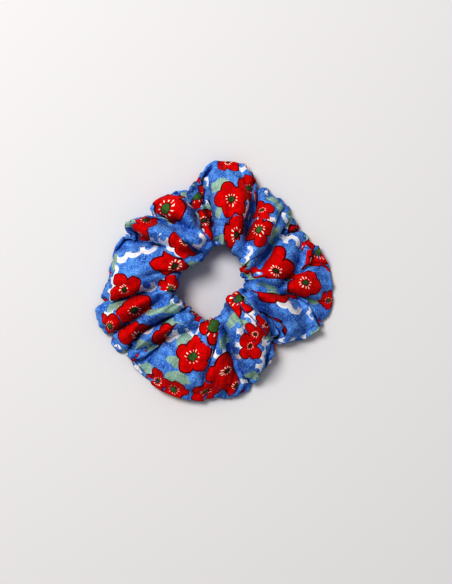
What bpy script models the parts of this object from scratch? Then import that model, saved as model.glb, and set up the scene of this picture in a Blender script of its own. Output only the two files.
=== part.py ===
"""A fabric scrunchie lying flat: a gathered cotton sleeve on a flat elastic loop, with its seam threads.

The sleeve is one strip of cloth sewn into a tube, and the tube's two ends are lapped into a ring. The ring opens
along X when it is stretched over hair or a hand, so its cloth is two half shells that part at the ring's middle.

Frame: +Z up, +X to the right and +Y away from the viewer, with the origin on the surface that the scrunchie lies
on, under the middle of its box. Lengths below are in millimetres and angles in degrees, counter-clockwise from +X.
"""

import math

import bmesh
import bpy
from mathutils import Vector

MM = 0.001

# Driving dimensions of the gathered ring. Each row: angle, hole radius, outer radius.
RING_OUTLINE = (
    (0, 12.5, 55.0),
    (20, 12.5, 50.5),
    (40, 14.5, 47.0),
    (60, 17.0, 50.0),
    (80, 18.5, 58.0),
    (100, 18.0, 49.5),
    (120, 14.5, 45.0),
    (140, 13.5, 46.0),
    (160, 15.5, 47.0),
    (180, 15.0, 50.5),
    (200, 13.0, 58.5),
    (220, 14.0, 52.0),
    (240, 17.0, 54.5),
    (260, 16.0, 55.0),
    (280, 12.5, 52.5),
    (300, 10.0, 46.5),
    (320, 10.0, 46.5),
    (340, 11.0, 56.5),
)
# The creases between the puffs of gathered cloth.
CREASE_ANGLES = (30, 66, 104, 133, 165, 197, 222, 255, 289, 352)
CREASE_WIDTH = 5.0
CREASE_OUTER_INSET = 3.0
CREASE_TOP_DROP = 4.5
CREASE_BOTTOM_RISE = 2.0
PUFF_TOP = 23.0
SECTION_ROUNDNESS = 2.4

CLOTH = 0.8
SPLIT_GAP = 0.3
RING_STATIONS = 60
SECTION_POINTS = 20

# The closing lap, where the sleeve's folded end covers its other end.
LAP_ANGLE = 318.0
LAP_LENGTH = 8.0
LAP_STEP = 0.8
LAP_TOP_DROP = 4.5
LAP_BOTTOM_RISE = 2.0
LAP_EDGE_RUN = 0.4
LAP_STITCH_INSET = 2.4

# The seam allowance, two plies of cloth standing inside the sleeve's outer edge.
ALLOWANCE_DEPTH = 6.0
ALLOWANCE_THICKNESS = 1.6
SIDE_STITCH_DEPTH = 1.6

# The elastic loop, whose middle is off the ring's because the hole is.
ELASTIC_CENTRE = (-1.6, 1.4)
ELASTIC_RADIUS = 20.9
ELASTIC_WIDTH = 6.0
ELASTIC_THICKNESS = 1.0
ELASTIC_MID_HEIGHT = 11.0
ELASTIC_LAP_ANGLE = 30.0
ELASTIC_LAP_START = 335.0
ELASTIC_STATIONS = 64

THREAD = 0.4
CLEARANCE = 0.3
ZIGZAG_TEETH = 7
ZIGZAG_HALF_WIDTH = 2.0
ZIGZAG_MARGIN_ANGLE = 4.0

COTTON_BLUE = (0.10, 0.22, 0.62, 1.0)
ELASTIC_WHITE = (0.86, 0.85, 0.82, 1.0)
THREAD_BLUE = (0.20, 0.32, 0.70, 1.0)


def clear_scene():
    for obj in list(bpy.data.objects):
        bpy.data.objects.remove(obj, do_unlink=True)


def make_material(name, colour, roughness):
    material = bpy.data.materials.new(name)
    material.use_nodes = True
    shader = material.node_tree.nodes["Principled BSDF"]
    shader.inputs["Base Color"].default_value = colour
    shader.inputs["Roughness"].default_value = roughness
    shader.inputs["Metallic"].default_value = 0.0
    return material


def turn_between(first, second):
    """The signed angle from second to first, from -180 to 180 degrees."""
    return (first - second + 180.0) % 360.0 - 180.0


def outline_at(angle, column):
    """A smooth closed curve through one column of RING_OUTLINE, by Catmull-Rom."""
    count = len(RING_OUTLINE)
    step = 360.0 / count
    place = (angle % 360.0) / step
    index = int(place)
    t = place - index
    p0, p1, p2, p3 = (RING_OUTLINE[(index + k) % count][column] for k in (-1, 0, 1, 2))
    return 0.5 * (
        2 * p1 + (p2 - p0) * t + (2 * p0 - 5 * p1 + 4 * p2 - p3) * t * t + (3 * p1 - p0 - 3 * p2 + p3) * t ** 3
    )


def nearness(angle, places, width):
    """1 at the nearest of the given angles, falling smoothly to 0 a few widths away."""
    away = min(abs(turn_between(angle, place)) for place in places)
    return math.exp(-((away / width) ** 2))


def middle_radius(angle):
    return 0.5 * (outline_at(angle, 1) + outline_at(angle, 2))


def lap_angle_at(along):
    """The angle this many millimetres along the ring from the lap's middle."""
    return LAP_ANGLE + math.degrees(along / middle_radius(LAP_ANGLE))


def lap_depth(angle):
    """How far the sleeve's surface stands out at the lap: one cloth thickness, with a short edge at each end."""
    along = math.radians(turn_between(angle, LAP_ANGLE)) * middle_radius(LAP_ANGLE)
    inside = LAP_LENGTH / 2 - abs(along)
    return LAP_STEP * min(1.0, max(0.0, inside / LAP_EDGE_RUN))


def section_size(angle):
    """(hole radius, outer radius, bottom, top) of the sleeve's outside at this angle."""
    crease = nearness(angle, CREASE_ANGLES, CREASE_WIDTH)
    pinch = nearness(angle, (LAP_ANGLE,), 1.6 * CREASE_WIDTH)
    inner = outline_at(angle, 1)
    outer = outline_at(angle, 2) - CREASE_OUTER_INSET * crease
    bottom = CREASE_BOTTOM_RISE * crease + LAP_BOTTOM_RISE * pinch
    top = PUFF_TOP - CREASE_TOP_DROP * crease - LAP_TOP_DROP * pinch
    return inner, outer, bottom if bottom > 0.05 else 0.0, top


def section_point(size, inset, turn, height_shift=0.0):
    """A point (radius, height) of the rounded section, inset by a distance; turn 0 is the outer edge, 90 the top."""
    inner, outer, bottom, top = size
    half_width = (outer - inner) / 2 - inset
    half_height = (top - bottom) / 2 - inset + 1.0
    c, s = math.cos(math.radians(turn)), math.sin(math.radians(turn))
    power = 2.0 / SECTION_ROUNDNESS
    radius = (inner + outer) / 2 + half_width * math.copysign(abs(c) ** power, c)
    height = (top + bottom) / 2 - 1.0 + half_height * math.copysign(abs(s) ** power, s)
    return radius, max(height, bottom + inset) + height_shift


def edge_height(size):
    """The height of the sleeve's outer edge, where the side seam runs."""
    return section_point(size, 0.0, 0.0)[1]


def in_frame(angle, radius, height):
    """Ring coordinates as a point in the row frame, in metres."""
    a = math.radians(angle)
    return Vector((radius * math.cos(a), radius * math.sin(a), height)) * MM + FRAME_SHIFT


def outside_section(angle):
    size = section_size(angle)
    turns = [360.0 * k / SECTION_POINTS for k in range(SECTION_POINTS)]
    return [section_point(size, -lap_depth(angle), turn) for turn in turns]


def inside_section(angle):
    """The tunnel's section, with the seam allowance standing in from its outer edge."""
    size = section_size(angle)
    mid = edge_height(size)
    half = ALLOWANCE_THICKNESS / 2
    wall_radius = size[1] - CLOTH
    root = wall_radius - 1.2
    tip = wall_radius - ALLOWANCE_DEPTH
    turns = [360.0 * k / SECTION_POINTS for k in range(2, SECTION_POINTS - 1)]
    around = [section_point(size, CLOTH, turn) for turn in turns]
    return [(tip, mid + half), (root, mid + half), *around, (root, mid - half), (tip, mid - half)]


def fill_between(bm, first, second):
    """Quads that join two equal closed loops of vertices."""
    count = len(first)
    for k in range(count):
        n = (k + 1) % count
        bm.faces.new((first[k], first[n], second[n], second[k]))


def finish_object(name, bm, material):
    bmesh.ops.recalc_face_normals(bm, faces=bm.faces)
    mesh = bpy.data.meshes.new(name)
    bm.to_mesh(mesh)
    bm.free()
    mesh.materials.append(material)
    mesh.shade_smooth()
    mesh.set_sharp_from_angle(angle=math.radians(50))
    obj = bpy.data.objects.new(name, mesh)
    bpy.context.scene.collection.objects.link(obj)
    return obj


def half_angles(start):
    """The angles of the sections along half of the ring, with extra ones at the lap's edges and stitches."""
    steps = RING_STATIONS // 2
    angles = [start + 180.0 * k / steps for k in range(steps + 1)]
    half = LAP_LENGTH / 2
    for along in (-half, LAP_EDGE_RUN - half, half - LAP_STITCH_INSET, half - LAP_EDGE_RUN, half):
        place = lap_angle_at(along)
        near = place - 360.0 if place - start > 180.0 else place
        if start < near < start + 180.0:
            angles.append(near)
    return sorted(angles)


def make_half_sleeve(name, start, side, material):
    """Half of the sleeve as a shell, open at both ends. side is 1 for the half at +X and -1 for the other."""
    bm = bmesh.new()
    angles = half_angles(start)
    ends = (angles[0], angles[-1])
    outer_loops, inner_loops = [], []
    for angle in angles:
        gap = Vector((side * SPLIT_GAP / 2 * MM if angle in ends else 0.0, 0.0, 0.0))
        outer_loops.append([bm.verts.new(in_frame(angle, r, h) + gap) for r, h in outside_section(angle)])
        inner_loops.append([bm.verts.new(in_frame(angle, r, h) + gap) for r, h in inside_section(angle)])
    for loops in (outer_loops, inner_loops):
        for first, second in zip(loops, loops[1:]):
            fill_between(bm, first, second)
    for k in (0, -1):
        cut_end(bm, outer_loops[k], inner_loops[k])
    return finish_object(name, bm, material)


def cut_end(bm, outside, inside):
    """The cut face of the wall, and of the seam allowance at its outer edge."""
    for k in range(1, SECTION_POINTS - 1):
        bm.faces.new((outside[k], outside[k + 1], inside[k + 1], inside[k]))
    bm.faces.new((outside[-1], outside[0], outside[1], inside[1], inside[0], inside[-1], inside[-2]))


def on_elastic(angle, radius, height):
    """A point at this radius from the elastic's own middle, as in_frame gives it."""
    return in_frame(angle, radius, height) + Vector((*ELASTIC_CENTRE, 0.0)) * MM


def make_elastic(material):
    """The elastic: one flat band in a loop, whose last stretch lies outside its first."""
    bm = bmesh.new()
    sweep = 360.0 + ELASTIC_LAP_ANGLE
    climb = ELASTIC_THICKNESS + CLEARANCE
    sections = []
    for k in range(ELASTIC_STATIONS + 1):
        travelled = sweep * k / ELASTIC_STATIONS
        rise = climb * min(1.0, travelled / (360.0 - ELASTIC_LAP_ANGLE))
        radius = ELASTIC_RADIUS + rise
        angle = ELASTIC_LAP_START + travelled
        corners = [
            (radius + dr * ELASTIC_THICKNESS / 2, ELASTIC_MID_HEIGHT + dz * ELASTIC_WIDTH / 2)
            for dr, dz in ((-1, -1), (1, -1), (1, 1), (-1, 1))
        ]
        sections.append([bm.verts.new(on_elastic(angle, r, h)) for r, h in corners])
    for first, second in zip(sections, sections[1:]):
        fill_between(bm, first, second)
    bm.faces.new(sections[0])
    bm.faces.new(sections[-1])
    return finish_object("elastic_band", bm, material)


def make_thread(name, points, closed, material):
    """A sewing thread that follows the points."""
    curve = bpy.data.curves.new(name, "CURVE")
    curve.dimensions = "3D"
    curve.bevel_depth = THREAD / 2 * MM
    curve.bevel_resolution = 1
    curve.use_fill_caps = not closed
    spline = curve.splines.new("POLY")
    spline.points.add(len(points) - 1)
    for place, point in zip(spline.points, points):
        place.co = (*point, 1.0)
    spline.use_cyclic_u = closed
    curve.materials.append(material)
    obj = bpy.data.objects.new(name, curve)
    bpy.context.scene.collection.objects.link(obj)
    return obj


def side_seam_points(side):
    """The side seam's thread on one face of the seam allowance, all round the ring. side 1 is the upper face."""
    off_face = ALLOWANCE_THICKNESS / 2 + CLEARANCE + THREAD / 2
    points = []
    for angle in half_angles(-90.0) + half_angles(90.0)[1:-1]:
        size = section_size(angle)
        radius = size[1] - CLOTH - ALLOWANCE_DEPTH + SIDE_STITCH_DEPTH
        points.append(in_frame(angle, radius, edge_height(size) + side * off_face))
    return points


def closing_seam_points(off_surface):
    """A thread round the sleeve at the lap, a set distance outside (or, below zero, inside) its surface."""
    angle = lap_angle_at(LAP_LENGTH / 2 - LAP_STITCH_INSET)
    size = section_size(angle)
    reach = off_surface if off_surface > 0 else off_surface - CLOTH
    base = lap_depth(angle) if off_surface > 0 else 0.0
    turns = [360.0 * k / SECTION_POINTS for k in range(2, SECTION_POINTS - 1)]
    return [in_frame(angle, *section_point(size, -(base + reach), turn)) for turn in turns]


def elastic_join_points(side):
    """The zigzag over the elastic's lapped ends. side 1 is the lap's outer face and -1 its inner face."""
    layers = (0.0, ELASTIC_THICKNESS + CLEARANCE)
    face = layers[1] + ELASTIC_THICKNESS / 2 if side > 0 else -ELASTIC_THICKNESS / 2
    radius = ELASTIC_RADIUS + face + side * (CLEARANCE + THREAD / 2)
    sweep = ELASTIC_LAP_ANGLE - 2 * ZIGZAG_MARGIN_ANGLE
    points = []
    for k in range(2 * ZIGZAG_TEETH + 1):
        angle = ELASTIC_LAP_START + ZIGZAG_MARGIN_ANGLE + sweep * k / (2 * ZIGZAG_TEETH)
        height = ELASTIC_MID_HEIGHT + ZIGZAG_HALF_WIDTH * (1 if k % 2 else -1)
        points.append(on_elastic(angle, radius, height))
    return points


def ring_middle():
    """The middle of the sleeve's box in ring coordinates, in millimetres."""
    xs, ys = [], []
    for start in (-90.0, 90.0):
        for angle in half_angles(start):
            for radius, _ in outside_section(angle):
                xs.append(radius * math.cos(math.radians(angle)))
                ys.append(radius * math.sin(math.radians(angle)))
    return (min(xs) + max(xs)) / 2, (min(ys) + max(ys)) / 2


clear_scene()
cotton = make_material("printed_cotton", COTTON_BLUE, 0.85)
knit = make_material("elastic_webbing", ELASTIC_WHITE, 0.7)
thread = make_material("sewing_thread", THREAD_BLUE, 0.6)

middle = ring_middle()
FRAME_SHIFT = Vector((-middle[0] * MM, -middle[1] * MM, 0.0))

make_half_sleeve("fabric_sleeve_right", -90.0, 1, cotton)
make_half_sleeve("fabric_sleeve_left", 90.0, -1, cotton)
make_elastic(knit)
make_thread("side_seam_needle_thread", side_seam_points(1), True, thread)
make_thread("side_seam_bobbin_thread", side_seam_points(-1), True, thread)
make_thread("closing_seam_needle_thread", closing_seam_points(CLEARANCE + THREAD / 2), False, thread)
make_thread("closing_seam_bobbin_thread", closing_seam_points(-(CLEARANCE + THREAD / 2)), False, thread)
make_thread("elastic_join_needle_thread", elastic_join_points(1), False, thread)
make_thread("elastic_join_bobbin_thread", elastic_join_points(-1), False, thread)
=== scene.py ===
"""A fabric scrunchie: printed cotton gauze gathered on a braided elastic, with its seam threads.

The sleeve is simulated as the real strip of cloth. A wide smooth tube is drawn in to the elastic's length,
so that it pleats, and is crumpled at a finer scale. Then its valleys are sunk and its puffs raised by a
smooth shift of height. Cloth lengths are in millimetres. A place on the sleeve is (column, row): columns run
along the strip, counter-clockwise round the ring, and rows run round the tube, from the outer edge's seam at
row 0 over the top to the hole and back underneath.
"""

import math

import bpy
import numpy as np
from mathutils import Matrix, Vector
from mathutils.bvhtree import BVHTree


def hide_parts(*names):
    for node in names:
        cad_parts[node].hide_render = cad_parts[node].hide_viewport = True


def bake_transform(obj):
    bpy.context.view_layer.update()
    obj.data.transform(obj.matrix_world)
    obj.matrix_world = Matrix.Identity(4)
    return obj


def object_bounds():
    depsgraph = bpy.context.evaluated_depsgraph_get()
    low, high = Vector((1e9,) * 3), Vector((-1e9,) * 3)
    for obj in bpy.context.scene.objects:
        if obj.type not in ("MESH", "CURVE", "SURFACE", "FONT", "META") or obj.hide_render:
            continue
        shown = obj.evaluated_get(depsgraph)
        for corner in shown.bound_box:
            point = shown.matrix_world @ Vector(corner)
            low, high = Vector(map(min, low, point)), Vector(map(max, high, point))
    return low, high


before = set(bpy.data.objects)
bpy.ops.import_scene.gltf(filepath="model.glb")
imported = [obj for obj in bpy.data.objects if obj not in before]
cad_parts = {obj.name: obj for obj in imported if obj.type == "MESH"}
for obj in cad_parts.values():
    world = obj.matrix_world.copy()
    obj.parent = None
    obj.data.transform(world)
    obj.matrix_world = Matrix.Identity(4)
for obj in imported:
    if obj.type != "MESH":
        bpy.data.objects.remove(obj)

MM = 0.001
CAD_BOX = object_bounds()

# The ring's centre in the frame, which part.py puts a little off the middle of the scrunchie's box.
RING_CENTRE = np.array((-0.47, -1.32, 0.0))

# The strip of cloth between its seams, and the size it was cut to, with its seam allowances.
CLOTH_LENGTH, CLOTH_GIRTH = 500.0, 83.0
CLOTH = 0.5

# Gathering: the tube's middle radius goes from START to END, and the elastic in it holds the hole open.
COLUMNS, ROWS = 320, 52
START_RADIUS, END_RADIUS = 80.0, 33.0
CORE_CENTRE = np.array((-1.6, 1.4, 0.0))
CORE_INSET = 11.4
CORE_HALF_WIDTH, CORE_HALF_HEIGHT = 2.7, 4.5
MID_HEIGHT = 11.0
TUBE_HALF_WIDTH, TUBE_HALF_HEIGHT = 16.6, 6.0
FLOOR_CLEARANCE, LOWEST = 0.6, 0.1
GATHER_STEPS, SETTLE_STEPS, CRUMPLE_STEPS = 150, 60, 18
EASING_PASSES = 3
SINK, SINK_WIDTH, SINK_OVER_ELASTIC, ELASTIC_REACH = 7.6, 1.7, 0.25, 3.0
RISE, RISE_WIDTH = 3.4, 5.0
# The shift of height starts at this height and is whole after this much more.
SHIFT_FROM, SHIFT_SPAN = 3.0, 12.0
GATHER_SEED, CRUMPLE_SEED, CRINKLE_SEED, PRINT_SEED = 3, 5, 8, 21
NOTCH_DEPTH = 6.0

# For each of the two simulations: the speed kept from step to step, how far apart the cloth is kept, how far
# away its pairs are looked for, and the most that a point moves in a step.
GATHER_KEPT, GATHER_GAP, GATHER_REACH, GATHER_MOST = 0.9, 1.2, 2.0, 0.6
CRUMPLE_KEPT, CRUMPLE_GAP, CRUMPLE_REACH, CRUMPLE_MOST = 0.8, 0.9, 1.5, 0.3
# How far each step fills the cloth out and lowers it, while it gathers and while it settles.
FILL, SETTLING_FILL, FALL, SETTLING_FALL = 0.032, 0.024, 0.004, 0.012

# The valleys between the puffs, counter-clockwise: the share of the cloth in the puff that follows, how
# evenly spread that puff is (0 finely pleated, 1 smooth), and the valley's line from outer edge to hole.
VALLEYS = (
    (20, 0.9, ((42.6, 21.9), (38.0, 6.4), (30.6, -1.8), (16.6, 0.2))),
    (45, 0.6, ((40.3, 23.8), (29.0, 21.5), (23.6, 12.6), (15.9, 3.3))),
    (50, 0.5, ((18.6, 44.8), (17.0, 29.6), (14.7, 15.7))),
    (20, 0.3, ((-7.4, 46.7), (-2.8, 36.6), (1.1, 20.3))),
    (34, 0.6, ((-11.3, 41.3), (-7.4, 28.9), (-2.8, 18.8))),
    (38, 0.0, ((-28.8, 29.3), (-13.6, 26.5), (-3.5, 20.3))),
    (46, 0.85, ((-40.4, 24.2), (-26.1, 18.0), (-7.4, 13.7))),
    (30, 0.5, ((-52.3, -10.7), (-37.7, -6.1), (-22.9, 0.2))),
    (20, 0.5, ((-48.6, -23.9), (-40.0, -18.5), (-24.5, -6.8))),
    (22, 0.3, ((-38.5, -31.7), (-33.0, -21.6), (-13.6, -12.3))),
    (75, 0.95, ((-36.9, -32.8), (-23.7, -26.2), (-7.4, -20.0))),
    (44, 0.5, ((17.0, -48.3), (8.9, -33.2), (5.0, -20.0))),
    (45, 1.0, ((27.9, -25.8), (24.4, -12.3), (15.1, -3.7))),
    (58, 0.75, ((46.9, -23.9), (39.9, -7.2), (28.3, -2.2), (15.9, 0.2))),
)
# The outer edge and the hole's edge: angle in degrees and radius.
OUTER_EDGE = (
    (0, 54.5), (10, 53), (20, 50.5), (28, 47), (34, 46), (40, 46.5), (50, 49), (60, 49), (66, 47.5),
    (72, 54), (80, 58), (90, 55), (96, 49.5), (105, 43.5), (115, 44.5), (125, 45), (135, 42.5),
    (142, 46), (150, 47.5), (160, 46.5), (170, 47), (180, 48.5), (190, 53), (198, 56), (206, 54),
    (212, 55), (220, 50), (228, 52), (240, 54.5), (250, 55), (260, 55), (270, 52.5), (280, 52.5),
    (287, 51.5), (292, 49), (300, 45.5), (310, 41), (317, 34), (324, 46), (329, 54), (335, 53),
    (342, 53.5), (350, 55.5),
)
HOLE_EDGE = (
    (0, 13.5), (12, 13), (25, 13), (34, 14), (43, 16.5), (55, 17.5), (70, 16.5), (80, 18), (90, 19),
    (97, 17), (106, 13.5), (118, 11.5), (130, 12), (144, 13), (158, 15), (171, 16.5), (180, 15.5),
    (190, 14), (199, 12.5), (211, 10.5), (223, 10.5), (235, 12.5), (248, 16), (258, 18), (270, 17.5),
    (277, 14.5), (284, 11), (299, 9), (320, 9), (334, 10), (348, 12),
)
# How many depths each valley's line is worked out at.
DEPTHS = 41

# Fine creases added to the crumpled cloth: height, and how far each runs along and across it, in cells.
CRINKLES = ((0.16, 3, 9), (0.06, 2, 2), (0.16, 12, 12))
CRINKLE_FREE_EDGE = 5.0

# The closing lap, in columns of the crumpled cloth, and its stitches.
LAP_COLUMN = 504
LAP_LENGTH, LAP_RISE, LAP_STITCH_INSET, STITCH_DIP = 8.0, 1.3, 2.4, 0.6
CLOSING_SEAM_START_ROW = 4
CLOSING_SEAM_POINTS, POINTS_PER_STITCH = 337, 10

# The seam allowance inside the outer edge, in rows of the crumpled cloth.
ALLOWANCE_ROWS = (2, 4, 6, 8)
ALLOWANCE_HALF_THICKNESS = 0.35
SIDE_STITCH_ROW = 4

ELASTIC_RADIUS, ELASTIC_WIDTH, ELASTIC_THICKNESS = 20.9, 6.0, 1.0
ELASTIC_LAP_START, ELASTIC_LAP_ANGLE, LAYER_GAP = 335.0, 30.0, 0.3
ELASTIC_STATIONS, ELASTIC_SECTION_POINTS = 260, 36
ELASTIC_RIBS, ELASTIC_RIB = 6, 0.09
ZIGZAG_TEETH, ZIGZAG_POINTS_PER_RUN, ZIGZAG_HALF_WIDTH, ZIGZAG_MARGIN_ANGLE = 7, 4, 2.0, 4.0

THREAD_RADIUS, THREAD_SIDES = 0.2, 7
# How far the closing seam's threads lie off the cloth, how far each stitch dips, and the side seam's swing.
STITCH_CLEAR, STITCH_SAG, SIDE_STITCH_SWING = 0.12, 0.45, 0.12

# The print. Each motif that shows from above: x and y in the frame's millimetres, size and turn.
FLOWERS = (
    (6, 55, 6, 0), (8, 36.5, 7.5, 0), (15.5, 42, 6.5, 0), (10, 21, 8.5, 0), (22, 32.5, 6, 0),
    (20, 23.5, 7, 0), (28, 4.5, 10.5, 0), (42, -1, 8, 0), (48, 13, 8, 0), (24, -20, 5.5, 0),
    (16.5, -30, 6.5, 0), (11.5, -7.5, 9, 0), (6, -41.5, 9, 0), (10, -48, 6.5, 0), (-10, -34, 8.5, 0),
    (0, -20, 9, 0), (-26, -46, 7, 0), (-4, -51, 6.5, 0), (-19, -50, 6, 0), (-36.5, -13.5, 8.5, 0),
    (-48, -21, 6.5, 0), (-10, -14, 8, 0), (-35, -25, 8, 0), (-21, -24, 7.5, 0), (-18, 6.5, 10, 0),
    (-41.5, -4, 8, 0), (-19.5, -4, 6.5, 0), (-34, 21.5, 5.5, 0), (-13.5, 17.5, 7, 0),
    (-22.5, 33, 10.5, 0), (-7.5, 39, 6, 0), (-4.5, 27, 8.5, 0), (-47, 9.5, 5, 0), (53, -9, 5, 0),
    (-31, 28, 5, 0), (18.5, -24, 5, 0),
)
LEAVES = (
    (2, 43, 5.5, 15), (3, 32, 5, 75), (28, 37, 5, -30), (36, 29, 5, 60), (16, 2.5, 6, -20),
    (43, 20, 6.5, -45), (44, -10.5, 6.5, 80), (10, -18, 6, 40), (17, -44, 5.5, 40),
    (-19, -37, 4.5, -10), (-18, -44.5, 5.5, 20), (-13.5, -28, 5, 20), (-26, -13, 7, 35),
    (-45, -11, 6, 20), (-33, -30.5, 5.5, 30), (-32, -42, 5.5, -35), (-13.5, 39, 4, 0),
    (-12, 6, 4.5, 50), (-3.5, 33, 4.5, 50), (48, -21, 6, -60), (27, 20, 4, 90), (24.5, -3.5, 5, -15),
    (-21, -21, 5, 50), (4, 17.5, 4, -40), (5, -27, 4, 60),
)
SCALLOPS = (
    (-36, 14, 7.5, 0), (31, -9, 7.5, -20), (-14.5, -23, 7.5, 5), (-17, -9, 6.5, -5), (21, -31, 7, 60),
    (11, -26, 7, 90), (42.5, 7.5, 7.5, 155), (30, 18.5, 7, 160), (23, 28, 5.5, 160), (13, 9.5, 6, 80),
    (11.5, 30, 6, 65), (-5.5, 45.5, 6, 170), (-4.5, 36, 5.5, 10), (-7.5, 18, 6.5, 70),
    (-19, 16.5, 6, -35), (-31, -2, 6.5, 15), (-48, -2, 7, 60), (-49, -13, 6, 50), (-31, 20, 5.5, -5),
    (-36.5, -37, 6.5, -50), (-31, -41, 5, -30), (39, -26, 7, -15), (14.5, -12, 6.5, 100),
    (23, -24, 6.5, -60), (35, 26, 6, -60), (45.5, -16, 5, 60), (20, -37, 6.5, 75),
)
# Each kind of motif: its name, its places, and the spacing and sizes of those that don't show from above.
MOTIF_LAYERS = (
    ("flower", FLOWERS, 22.0, (7.0, 9.5)),
    ("leaf", LEAVES, 17.0, (4.5, 7.0)),
    ("scallop", SCALLOPS, 19.0, (5.0, 7.0)),
)
MOTIF_TRIES, SIGHT_DEPTH = 1500, 2.0
# Rays that look for what shows from above start at this height and go down.
ABOVE, DOWN = 60.0, Vector((0.0, 0.0, -1.0))
# Multiples of this, less their whole part, give each motif a seed unlike its neighbours'.
GOLDEN_STEP = 0.618034

STAMENS = 11.0
WEAVE_PITCH, WEAVE_BUMP, YARN_BUMP, CRINKLE_BUMP = 0.5, 0.03, 0.25, 1.0
BRAID_PITCH, PLY_PITCH = 1.1, 0.7


def linear(red, green, blue):
    """An sRGB colour, 0 to 255, as Blender's linear RGBA."""
    parts = [c / 255 for c in (red, green, blue)]
    return (*(c / 12.92 if c <= 0.04045 else ((c + 0.055) / 1.055) ** 2.4 for c in parts), 1.0)


BLUE, BLUE_DEEP, BLUE_PALE = linear(112, 166, 232), linear(60, 112, 190), linear(178, 210, 246)
RED, RED_DEEP = linear(240, 26, 24), linear(180, 2, 6)
PETAL_EDGE = linear(92, 8, 12)
GREEN, GREEN_DEEP = linear(112, 150, 88), linear(58, 88, 50)
MINT, MINT_DEEP = linear(184, 210, 196), linear(140, 174, 158)
WHITE, CREAM = linear(240, 238, 242), linear(244, 236, 222)

FLOOR_SIZE = 3.0
FLOOR_COLOUR = linear(226, 225, 225)
KEY_PLACE, KEY_SIZE, KEY_POWER, KEY_COLOUR = (-0.5, 0.52, 1.2), 0.65, 9.4, (1.0, 0.985, 0.975)
SKY_COLOUR, SKY_STRENGTH = (1.0, 0.995, 1.0, 1.0), 0.27
CAMERA_HEIGHT, VIEW_LENGTH, VIEW_SHIFT = 0.75, 0.2682, (0.0054, -0.0051)


# ---- Cloth ----


def around(table, angle):
    """A radius from one of the edge tables at these angles, in radians."""
    degrees = [row[0] for row in table] + [table[0][0] + 360]
    values = [row[1] for row in table] + [table[0][1]]
    return np.interp(np.degrees(angle) % 360, degrees, values)


def on_line(line, depth):
    """x and y at these depths of a valley's line, from 0 at the outer edge to 1 at the hole."""
    line = np.array(line)
    knots = np.linspace(0, 1, len(line))
    return [np.interp(depth, knots, line[:, axis]) for axis in (0, 1)]


def lengths(d):
    return np.sqrt(np.einsum("ij,ij->i", d, d)) + 1e-9


def grid_normals(grid):
    along = np.roll(grid, -1, 0) - np.roll(grid, 1, 0)
    across = np.roll(grid, -1, 1) - np.roll(grid, 1, 1)
    normal = np.cross(along, across)
    return normal / np.maximum(np.linalg.norm(normal, axis=2, keepdims=True), 1e-9)


def streaky_noise(shape, along, across, rng):
    """Smooth noise of unit size, spread over about this many cells along and across the strip."""
    field = rng.normal(size=shape)
    for axis, passes in ((0, along), (1, across)):
        for _ in range(passes):
            field = (field + np.roll(field, 1, axis) + np.roll(field, -1, axis)) / 3
    return field / field.std()


def even_noise(shape, passes, rng):
    field = rng.normal(size=shape)
    for _ in range(passes):
        field = (field + sum(np.roll(field, shift, axis) for shift in (1, -1) for axis in (0, 1))) / 5
    return field / field.std()


def make_springs(shape, rng, growth, crinkle, passes, bend, far_bend):
    """The cloth's springs in batches that share no point: two ends, rest length, stiffness, folds only.

    growth is how much longer than nominal the cloth is along and across it, and crinkle how uneven."""
    columns, rows = shape
    du, dv = CLOTH_LENGTH / columns, CLOTH_GIRTH / rows
    i, j = np.meshgrid(np.arange(columns), np.arange(rows), indexing="ij")
    uneven = [crinkle * even_noise(shape, passes, rng) for _ in range(2)]
    springs = []

    def add(mask, di, dj, rest, stiffness, folds_only=False):
        a = i[mask] * rows + j[mask]
        b = (i[mask] + di) % columns * rows + (j[mask] + dj) % rows
        springs.append((a, b, np.broadcast_to(rest, a.shape), stiffness, folds_only))

    for p in (0, 1):
        add(i % 2 == p, 1, 0, (du * (1 + uneven[0]) * (1 + growth[0]))[i % 2 == p], 1.0)
        add(j % 2 == p, 0, 1, (dv * (1 + uneven[1]) * (1 + growth[1]))[j % 2 == p], 1.0)
    for p in (0, 1):
        for side in (1, -1):
            add(i % 2 == p, 1, side, math.hypot(du, dv) * (1 + sum(growth) / 2), 0.3)
    for p in (0, 1):
        add(i // 2 % 2 == p, 2, 0, 2 * du, bend, True)
        add(j // 2 % 2 == p, 0, 2, 2 * dv, bend, True)
    for p in (0, 1) if far_bend else ():
        add(i // 4 % 2 == p, 4, 0, 4 * du, far_bend, True)
    return springs


def pull_springs(points, springs):
    for a, b, rest, stiffness, folds_only in springs:
        d = points[b] - points[a]
        size = lengths(d)
        share = 0.5 * stiffness * (size - rest) / size
        if folds_only:
            share = np.minimum(share, 0.0)
        d *= share[:, None]
        points[a] += d
        points[b] -= d


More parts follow.
